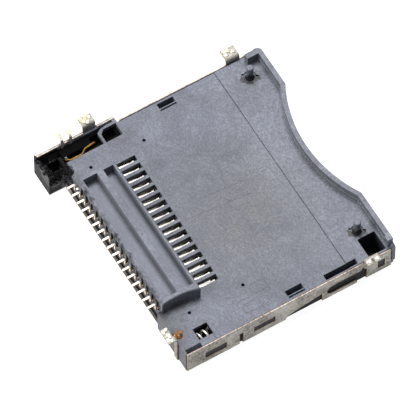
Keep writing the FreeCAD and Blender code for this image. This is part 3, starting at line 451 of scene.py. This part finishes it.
def plated(name, sheared_axis, metallic, bronze_share):
    """Satin tin over bronze strip, whose sheared sides face along one axis."""
    made, tree = material(name)
    place = node(tree, "ShaderNodeTexCoord").outputs["Object"]
    haze = node(tree, "ShaderNodeTexNoise", Vector=place, Scale=per_mm(HAZE_MM), Detail=3.0, Roughness=0.5)
    tone = node(tree, "ShaderNodeValToRGB", Fac=haze.outputs["Fac"])
    for element, (position, text) in zip(tone.color_ramp.elements, ((0.36, "ddd6c7"), (0.6, "efeae0"))):
        element.position, element.color = position, srgb(text)
    soft, _, flat_normal = edge_turn(tree, STRIP_EDGE, 0.98, 0.8, 0.3)
    facing = node(tree, "ShaderNodeSeparateXYZ", Vector=flat_normal)
    across_strip = node(tree, "ShaderNodeMath", {"operation": "ABSOLUTE"}, i0=facing.outputs[sheared_axis])
    sheared = node(tree, "ShaderNodeMapRange", Value=across_strip.outputs[0], From_Min=0.5, From_Max=0.8,
                   To_Min=0.0, To_Max=bronze_share)
    bronze = node(tree, "ShaderNodeMixRGB", Fac=sheared.outputs[0], Color1=tone.outputs["Color"],
                  Color2=srgb("c08f45"))
    bump = node(tree, "ShaderNodeBump", Strength=0.12, Distance=HAZE_RELIEF, Height=haze.outputs["Fac"],
                Normal=soft)
    metal = node(tree, "ShaderNodeBsdfPrincipled", Base_Color=bronze.outputs[0], Metallic=metallic,
                 Roughness=0.5, Normal=bump.outputs[0])
    node(tree, "ShaderNodeOutputMaterial", Surface=metal.outputs[0])
    return made


contacts = [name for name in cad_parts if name.startswith("contact_")]
dress(contacts, plated("satin_tin_plating", "X", 0.45, 0.8))
dress(["detect_blade", "detect_terminal"], plated("satin_tin_on_switch_strip", "Y", 0.0, 0.3))

# The ejector slider: a black acetal moulding with a smooth skin, patchy with the grease that the wire and the
# spring run in.
GREASE_MM = 1.2
SLIDER_CORNER = 0.06 * MM

acetal, tree = material("black_acetal")
place = node(tree, "ShaderNodeTexCoord").outputs["Object"]
grease = node(tree, "ShaderNodeTexNoise", Vector=place, Scale=per_mm(GREASE_MM), Detail=3.0, Roughness=0.6)
rough = node(tree, "ShaderNodeMapRange", Value=grease.outputs["Fac"], From_Min=0.35, From_Max=0.65,
             To_Min=0.7, To_Max=0.85)
tone = node(tree, "ShaderNodeMixRGB", Fac=grease.outputs["Fac"], Color1=srgb("060606"), Color2=srgb("100f0e"))
soft = node(tree, "ShaderNodeBevel", {"samples": 6}, Radius=SLIDER_CORNER)
plastic = node(tree, "ShaderNodeBsdfPrincipled", Base_Color=tone.outputs[0], Roughness=rough.outputs[0],
               IOR=1.1, Normal=soft.outputs[0])
node(tree, "ShaderNodeOutputMaterial", Surface=plastic.outputs[0])
dress(["ejector_slider"], acetal)

# The follower wire: drawn spring wire, bent cold at both ends and plated with brass. The plating is worn in
# places and bright along the wire's crown.
WEAR_MM = 0.8

brass, tree = material("brass_plated_wire")
place = node(tree, "ShaderNodeTexCoord").outputs["Object"]
worn = node(tree, "ShaderNodeTexNoise", Vector=place, Scale=per_mm(WEAR_MM), Detail=2.0)
tone = node(tree, "ShaderNodeMixRGB", Fac=worn.outputs["Fac"], Color1=srgb("281c0d"), Color2=srgb("6f5025"))
metal = node(tree, "ShaderNodeBsdfPrincipled", Base_Color=tone.outputs[0], Metallic=1.0, Roughness=0.36)
node(tree, "ShaderNodeOutputMaterial", Surface=metal.outputs[0])
dress(["cam_wire"], brass)

# The return spring: bright stainless wire, drawn smooth and coiled cold. Its crowns catch the lamp as white
# arcs.
DRAWN_MM = 0.3

stainless, tree = material("bright_stainless_wire")
place = node(tree, "ShaderNodeTexCoord").outputs["Object"]
drawn = node(tree, "ShaderNodeTexNoise", Vector=place, Scale=per_mm(DRAWN_MM), Detail=2.0)
rough = node(tree, "ShaderNodeMapRange", Value=drawn.outputs["Fac"], From_Min=0.3, From_Max=0.7, To_Min=0.28,
             To_Max=0.4)
metal = node(tree, "ShaderNodeBsdfPrincipled", Base_Color=srgb("fbf8f0"), Metallic=0.5,
             Roughness=rough.outputs[0])
node(tree, "ShaderNodeOutputMaterial", Surface=metal.outputs[0])
dress(["return_spring"], stainless)

MERGE_DISTANCE = 0.0005 * MM
shape = bmesh.new()
shape.from_mesh(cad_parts["return_spring"].data)
bmesh.ops.remove_doubles(shape, verts=shape.verts, dist=MERGE_DISTANCE)
bmesh.ops.recalc_face_normals(shape, faces=shape.faces)
coil_mesh = bpy.data.meshes.new("return_spring_coil")
shape.to_mesh(coil_mesh)
shape.free()
coil_mesh.shade_smooth()
coil_mesh.materials.clear()
coil_mesh.materials.append(stainless)
coil = bpy.data.objects.new("return_spring_coil", coil_mesh)
bpy.context.scene.collection.objects.link(coil)
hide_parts("return_spring")
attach(coil, "base")
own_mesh(coil)

# Solder and flux left by hand soldering: tin-lead lumps on the cover's feet, straw-coloured flux on the feet
# of its -X side and on the switch's, an amber bead beside the hold-down foot and a black crust over the end
# block.
from random import Random

from mathutils import noise
from mathutils.bvhtree import BVHTree

FROST_MM = 0.35
FROST_RELIEF = 0.05 * MM
MILK_MM = 0.6
HEART_MM = 0.7


def add_drop(shape, centre_mm, size_mm, turn, subdivisions):
    """Adds one uneven drop: a ball that noise pushes in and out, measured in millimetres."""
    grown = bmesh.ops.create_icosphere(shape, subdivisions=subdivisions, radius=1.0)
    for vert in grown["verts"]:
        push = 1.0 + 0.35 * noise.noise(vert.co * 1.4 + Vector((turn * 3.7, turn * 1.9, turn)))
        vert.co = Vector([centre_mm[i] + vert.co[i] * size_mm[i] * push for i in range(3)]) * MM


def add_piece(name, shape, made):
    """Turns a bmesh into a smooth object that rides with the base."""
    bmesh.ops.recalc_face_normals(shape, faces=shape.faces)
    mesh = bpy.data.meshes.new(name)
    shape.to_mesh(mesh)
    shape.free()
    mesh.shade_smooth()
    mesh.materials.append(made)
    piece = bpy.data.objects.new(name, mesh)
    bpy.context.scene.collection.objects.link(piece)
    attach(piece, "base")


solder, tree = material("tin_lead_solder")
place = node(tree, "ShaderNodeTexCoord").outputs["Object"]
# Grey frost over bright metal, with small dark pits.
frost = node(tree, "ShaderNodeTexNoise", Vector=place, Scale=per_mm(FROST_MM), Detail=3.0, Roughness=0.6)
frosted = node(tree, "ShaderNodeValToRGB", Fac=frost.outputs["Fac"])
for element, (position, text) in zip(frosted.color_ramp.elements, ((0.34, "55524a"), (0.43, "d6d3c8"))):
    element.position, element.color = position, srgb(text)
bump = node(tree, "ShaderNodeBump", Strength=0.5, Distance=FROST_RELIEF, Height=frost.outputs["Fac"])
metal = node(tree, "ShaderNodeBsdfPrincipled", Base_Color=frosted.outputs["Color"], Metallic=0.4,
             Roughness=0.42, Normal=bump.outputs[0])
node(tree, "ShaderNodeOutputMaterial", Surface=metal.outputs[0])

straw, tree = material("straw_coloured_flux")
place = node(tree, "ShaderNodeTexCoord").outputs["Object"]
# Milky yellow resin, thicker and darker where the noise is high.
milk = node(tree, "ShaderNodeTexNoise", Vector=place, Scale=per_mm(MILK_MM), Detail=3.0, Roughness=0.6)
milky = node(tree, "ShaderNodeMixRGB", Fac=milk.outputs["Fac"], Color1=srgb("e8e5cf"), Color2=srgb("a9a47c"))
resin = node(tree, "ShaderNodeBsdfPrincipled", Base_Color=milky.outputs[0], Roughness=0.35, IOR=1.5)
node(tree, "ShaderNodeOutputMaterial", Surface=resin.outputs[0])

amber, tree = material("amber_flux")
place = node(tree, "ShaderNodeTexCoord").outputs["Object"]
# Burnt-sugar brown with an orange heart.
heart = node(tree, "ShaderNodeTexNoise", Vector=place, Scale=per_mm(HEART_MM), Detail=3.0, Roughness=0.6)
sugar = node(tree, "ShaderNodeValToRGB", Fac=heart.outputs["Fac"])
for element, (position, text) in zip(sugar.color_ramp.elements, ((0.44, "3a2a1c"), (0.58, "b06a20"))):
    element.position, element.color = position, srgb(text)
resin = node(tree, "ShaderNodeBsdfPrincipled", Base_Color=sugar.outputs["Color"], Roughness=0.3, IOR=1.5)
node(tree, "ShaderNodeOutputMaterial", Surface=resin.outputs[0])

crust_glass, tree = material("black_burnt_flux")
place = node(tree, "ShaderNodeTexCoord").outputs["Object"]
# Black glass with a bubbled skin.
skin_normal = node(tree, "ShaderNodeNewGeometry").outputs["Normal"]
node(tree, "ShaderNodeOutputMaterial", Surface=burnt_flux(tree, place, skin_normal))

# The drops' centres and half sizes. The lumps and the straw-coloured drops sit on top of the feet.
FOOT_TOP_MM = 6.4
STRAW_LIFT_MM = 0.02
LUMP_HEIGHT_MM = 0.16
SOLDER_MM = ((16.5, -19.2, 0.5, 0.36), (17.35, -18.95, 0.55, 0.42), (18.1, -19.3, 0.45, 0.32),
             (18.4, -18.8, 0.3, 0.3), (16.25, -18.75, 0.3, 0.28), (21.9, 13.5, 0.4, 0.45),
             (21.95, 14.9, 0.4, 0.38), (-20.9, 13.5, 0.4, 0.42), (-20.3, 14.8, 0.42, 0.42),
             (-20.2, 13.5, 0.35, 0.4), (-21.5, -10.1, 0.42, 0.4), (-20.9, -10.7, 0.4, 0.5))
STRAW_MM = ((-21.7, -11.3, 0.42, 0.4, 0.2), (-21.2, -11.0, 0.5, 0.55, 0.22), (-21.8, -10.3, 0.35, 0.5, 0.2),
            (-20.85, -15.6, 0.6, 0.28, 0.12), (-20.8, -14.1, 0.58, 0.28, 0.12), (-20.7, 14.1, 0.3, 0.4, 0.16))
AMBER_MM = (((17.35, -17.9, 5.25), (0.5, 0.46, 0.45)), ((17.6, -17.2, 5.15), (0.6, 0.5, 0.3)),
            ((17.1, -16.85, 5.1), (0.4, 0.42, 0.14)), ((17.75, -17.85, 5.0), (0.3, 0.3, 0.4)))
shape = bmesh.new()
for turn, (x, y, across, along) in enumerate(SOLDER_MM):
    add_drop(shape, (x, y, FOOT_TOP_MM), (across, along, LUMP_HEIGHT_MM), turn + 1.0, 3)
add_piece("solder_lumps", shape, solder)

shape = bmesh.new()
for turn, (x, y, across, along, high) in enumerate(STRAW_MM):
    add_drop(shape, (x, y, FOOT_TOP_MM + STRAW_LIFT_MM), (across, along, high), turn + 21.0, 3)
add_piece("straw_flux", shape, straw)

shape = bmesh.new()
for turn, (centre, size) in enumerate(AMBER_MM):
    add_drop(shape, centre, size, turn + 31.0, 3)
add_piece("amber_flux", shape, amber)

# The crust's bubbles sit where straight lines meet the housing: the first ones go down onto the end block,
# the next onto its inner wall and the last onto its rear wall. Those that miss the burnt parts are left out.
ON_TOP, ON_INNER_WALL, BUBBLES = 100, 130, 150
LOWEST_ON_TOP, FRONT_OF_WALLS = 4.6 * MM, -17.9 * MM
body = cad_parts["housing"].data
surface = BVHTree.FromPolygons([vert.co for vert in body.vertices], [face.vertices for face in body.polygons])
chance = Random(11)
shape = bmesh.new()
for count in range(BUBBLES):
    size = chance.uniform(0.07, 0.24)
    if count < ON_TOP:
        start = Vector((chance.uniform(-20.4, -16.0), chance.uniform(-20.2, -17.5), 8.0))
        way = Vector((0.0, 0.0, -1.0))
    elif count < ON_INNER_WALL:
        start = Vector((-12.0, chance.uniform(-20.2, -18.2), chance.uniform(2.4, 5.0)))
        way = Vector((-1.0, 0.0, 0.0))
    else:
        start = Vector((chance.uniform(-20.4, -17.2), -24.0, chance.uniform(4.2, 5.0)))
        way = Vector((0.0, 1.0, 0.0))
    met = surface.ray_cast(start * MM, way)[0]
    if met is None or (count < ON_TOP and met.z < LOWEST_ON_TOP):
        continue
    if count >= ON_TOP and met.y > FRONT_OF_WALLS:
        continue
    add_drop(shape, met / MM, (size, size, size * 0.7), count * 0.61, 2)
add_piece("burnt_flux_crust", shape, crust_glass)
